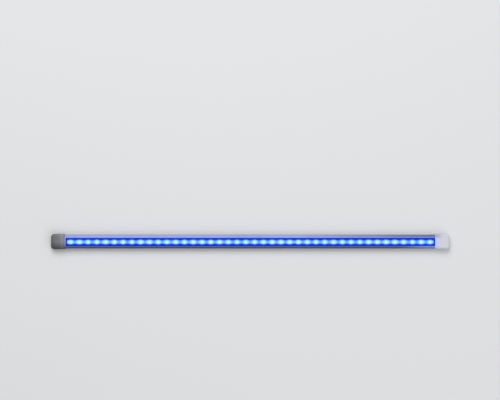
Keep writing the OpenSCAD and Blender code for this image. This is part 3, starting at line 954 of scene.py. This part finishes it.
def capBody(name, low, high, mouthX, outward, s):  # outward is -1 or 1, the way to the closed end
    length, halfWidth, height = high.x - low.x, (high.y - low.y) / 2, high.z - low.z
    lip, corner, back, front = s.lipLength, s.cornerRadius, s.backRadius, s.frontRadius
    cornerX, cornerY = length - corner, halfWidth - corner
    steps = 14  # of each corner, seen from above

    def drop(x):  # how far the lip lies inside the cap's sides, rounded at its mouth and at its shoulder
        ahead = lip - x
        step = min(max(ahead / s.shoulderWidth + 0.5, 0.0), 1.0)
        step = step * step * (3 - 2 * step) * s.shoulder
        rim = max(1 - x / s.rim, 0.0)
        taper = (s.lipDrop - s.shoulder) * max(ahead, 0.0) / lip
        return step + taper + s.rim * (1 - math.sqrt(1 - rim * rim))

    def profile(inward):  # from the back's edge round the side to the front's edge: distance inside, height
        return (arc((back, back), back - inward, 270, 180, 8)
                + arc((front, height - front), front - inward, 180, 90, 12))

    stops = [s.rim * (1 - math.cos(math.radians(a))) for a in (0, 22.5, 45, 67.5, 90)]
    stops += [lip * share for share in (0.25, 0.5, 0.75)]
    stops += [lip + s.shoulderWidth * share for share in (-0.8, -0.5, -0.3, -0.1, 0.1, 0.3, 0.5, 0.8)]
    stops += [lip + (cornerX - lip) * share for share in (0.35, 0.6, 0.8, 1)]
    columns = [[(x, halfWidth - inside, z) for inside, z in profile(drop(x))] for x in stops]
    for k in range(1, steps + 1):
        turn = math.radians(90 * k / steps)
        columns.append([(cornerX + (corner - inside) * math.sin(turn),
                         cornerY + (corner - inside) * math.cos(turn), z) for inside, z in profile(0.0)])
    columns += [[(x, -y, z) for x, y, z in column] for column in columns[::-1]]
    points = [(mouthX + outward * x, y, z + low.z) for column in columns for x, y, z in column]
    rows, count = len(columns[0]), len(columns)
    grid = [[k * rows + j for j in range(rows)] for k in range(count)]
    faces = ringFaces(grid, closed=False)
    for k in range(count // 2 - 1):  # the flat front and back, between like places on the two sides
        mirror = count - 1 - k
        faces.append((grid[k][-1], grid[k + 1][-1], grid[mirror - 1][-1], grid[mirror][-1]))
        faces.append((grid[k][0], grid[mirror][0], grid[mirror - 1][0], grid[k + 1][0]))
    faces.append(tuple(grid[0]) + tuple(grid[-1][::-1]))
    mesh = bpy.data.meshes.new(name)
    mesh.from_pydata(points, [], faces)
    return tidyNormals(meshObject(name, mesh))


def capShell(name, node, mouthX, outward):
    s = inMetres(capSizes)
    low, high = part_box(node)
    cap = capBody(name, low, high, mouthX, outward, s)
    gap, depth = s.gap, s.reach
    top = sleeveHigh.z + gap
    crown = crownArc(s.crownHalf, s.crownRise, top + s.crownRise, s.crownHalf, 16)
    seat = openFront((sleeveLow.y - gap, sleeveLow.z - gap), (sleeveHigh.y + gap, top),
                     s.seatBack, s.seatFront, [(rowY + y, z) for y, z in crown])
    centreZ = (sleeveLow.z + sleeveHigh.z) / 2
    halfY, halfZ = s.pocketWidth / 2, s.pocketHeight / 2
    pocket = roundedRectangle((-halfY, centreZ - halfZ), (halfY, centreZ + halfZ),
                              (s.pocketRadius,) * 4, 6)
    over = 1.0 * mm  # how far each tool runs past the face that it opens
    tools = [prism(outline, mouthX + outward * start, mouthX + outward * end) for outline, start, end in (
        (seat, -over, depth), (pocket, depth - over, depth + s.pocketLength))]
    if outward < 0:
        tools.append(holeTool(low.x, centreZ, s, over))
    return cutAway(cap, *tools)


def tidyNormals(made):
    shell = bmesh.new()
    shell.from_mesh(made.data)
    bmesh.ops.remove_doubles(shell, verts=shell.verts, dist=1e-7)
    bmesh.ops.recalc_face_normals(shell, faces=shell.faces)
    shell.to_mesh(made.data)
    shell.free()
    return made


def prism(outline, startX, endX):
    return tidyNormals(stackMesh("prism", [[(x, y, z) for y, z in outline] for x in (startX, endX)]))


def holeTool(endX, z, s, over):  # the wire hole: a bore with a flared mouth
    radius, bevel = s.holeRadius, s.holeBevel
    flare = arc((bevel, radius + bevel), bevel, 180, 270, 6)  # way in from the end, radius
    stations = [(-over, radius + bevel + over * 0.2), *flare, (s.end + over * 0.3, radius)]
    return tidyNormals(stackMesh("holeTool", [
        [(endX + x, *spot) for spot in arc((rowY, z), r, 0, 360, 48)[:-1]] for x, r in stations]))


def makeCaps():
    for name, node, slot, look, mouthX, outward in (
            ("wireEndCap", "wire_end_cap", "cap_silicone_wire", wireCapLook, wireMouthX, -1),
            ("blindEndCap", "blind_end_cap", "cap_silicone_blind", blindCapLook, blindMouthX, 1)):
        cap = capShell(name, node, mouthX, outward)
        cap.data.materials.clear()
        cap.data.materials.append(capMaterial(name + "Silicone", look, mouthX, outward))
        smooth(cap, 30)
        settle(cap, slot, node)


tapeSizes = {"wander": 0.06, "edge": 0.05}  # in millimetres
tapeWaves = 90.0  # of its cut edges, in turns a metre
tapeRings = 260


def tapeTree():
    tree, given, result = newGroup("cutTape", "GeometryNodeTree", {
        "Section": "Object", "Start": "Vector", "End": "Vector", "Rings": "Int",
        "Wander": "Float", "Scale": "Float", "Material": "Material",
    }, {"Geometry": "Geometry"})
    swept = addNode(tree, "GeometryNodeGroup", {
        label: given[label] for label in ("Section", "Start", "End", "Rings", "Material")
    }, node_tree=sweepSection)
    spot = addNode(tree, "GeometryNodeInputPosition")
    split = addNode(tree, "ShaderNodeSeparateXYZ", {"Vector": spot}).outputs
    side = calc(tree, "SIGN", split["Y"])  # each cut edge wanders in its own way
    along = addNode(tree, "ShaderNodeCombineXYZ", {"X": split["X"], "Y": side})
    wave = addNode(tree, "ShaderNodeTexNoise", {"Vector": along, "Scale": given["Scale"], "Detail": 2.0})
    push = times(tree, vary(tree, wave, -1.0, 0.0), given["Wander"])
    offset = addNode(tree, "ShaderNodeCombineXYZ", {"Y": times(tree, push, side)})
    moved = addNode(tree, "GeometryNodeSetPosition", {"Geometry": swept, "Offset": offset})
    return closeTree(tree, result, moved, given["Material"])


def makeTape():
    cutTape = tapeTree()
    for name, node, slot, finish in (("foamTape", "adhesive_tape", "foam_tape", foamMaterial()),
                                     ("releaseLiner", "release_liner", "liner_film", linerMaterial())):
        low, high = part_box(node)
        radius = min(tapeSizes["edge"] * mm, (high.z - low.z) * 0.3)  # the liner is thinner than two edges
        outline = roundedRectangle((low.y, low.z), (high.y, high.z), (radius,) * 4, 3)
        made = sweep(name, outline, low.x, high.x, finish, tapeRings, cutTape,
                     Wander=tapeSizes["wander"] * mm, Scale=tapeWaves)
        settle(made, slot, node)


def dressSeals():
    finish = sealantMaterial()
    for node in ("wire_end_seal", "blind_end_seal"):
        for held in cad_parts[node].material_slots:
            held.material = finish


# Stage, camera and light

def makeStage():
    mesh = bpy.data.meshes.new("floor")
    reach = 8.0
    corners = [(-reach, -reach, 0), (reach, -reach, 0), (reach, reach, 0), (-reach, reach, 0)]
    mesh.from_pydata(corners, [], [(0, 1, 2, 3)])
    material, tree = startMaterial("palePaper")
    under = addNode(tree, "ShaderNodeNewGeometry").outputs["Backfacing"]  # seen from below it is clear
    mesh.materials.append(paint(material, {
        "Base Color": tone(226, 227, 229), "Roughness": 0.85, "Specular IOR Level": 0.2,
        "Alpha": calc(tree, "SUBTRACT", 1.0, under),
    }))
    meshObject("floor", mesh)


def makeCamera():
    photo = Named(width=500, height=400, scale=876.4, stripX=250.275, stripY=241.55)  # in pixels
    data = bpy.data.cameras.new("camera")
    data.lens = 135
    data.sensor_width = 36
    camera = meshObject("camera", data)
    middleZ = (sleeveLow.z + sleeveHigh.z) / 2
    away = photo.width / photo.scale * data.lens / data.sensor_width
    camera.location = ((photo.width / 2 - photo.stripX) / photo.scale,
                       (photo.stripY - photo.height / 2) / photo.scale, middleZ + away)
    bpy.context.scene.camera = camera


def makeLights():
    world = bpy.data.worlds.new("studio")
    world.use_nodes = True
    bpy.context.scene.world = world
    tree = world.node_tree
    tree.nodes.clear()
    path = addNode(tree, "ShaderNodeLightPath").outputs
    seen = calc(tree, "MAXIMUM", path["Is Camera Ray"], path["Is Glossy Ray"])
    seen = calc(tree, "MAXIMUM", seen, path["Is Transmission Ray"])
    plain = addNode(tree, "ShaderNodeBackground", {"Color": tone(255, 255, 255), "Strength": 0.45})
    shown = addNode(tree, "ShaderNodeBackground", {"Color": tone(228, 229, 231), "Strength": 1.0})
    mix = addNode(tree, "ShaderNodeMixShader", {0: seen, 1: plain, 2: shown})
    addNode(tree, "ShaderNodeOutputWorld", {0: mix})
    for name, place, size, watts in (
            ("keyLamp", (-0.25, 1.3, 1.7), 1.4, 26.0),
            ("fillLamp", (0.9, -1.1, 1.5), 1.6, 9.0)):
        data = bpy.data.lights.new(name, "AREA")
        data.size = size
        data.energy = watts
        lamp = meshObject(name, data)
        lamp.location = place
        lamp.rotation_euler = (-Vector(place)).to_track_quat("-Z", "Y").to_euler()
        lamp.visible_camera = False


makeStage()
makeCamera()
makeLights()
print("stage, camera and lights made")
makeSleeve()
makeWindow()
print("sleeve and window made")
makeBoard()
makeLeds()
makeResistors()
makeJoints()
print("board and its parts made")
makeCaps()
dressSeals()
print("caps made")
makeTape()
print("tape and liner made")

bpy.context.scene.view_settings.view_transform = "Standard"
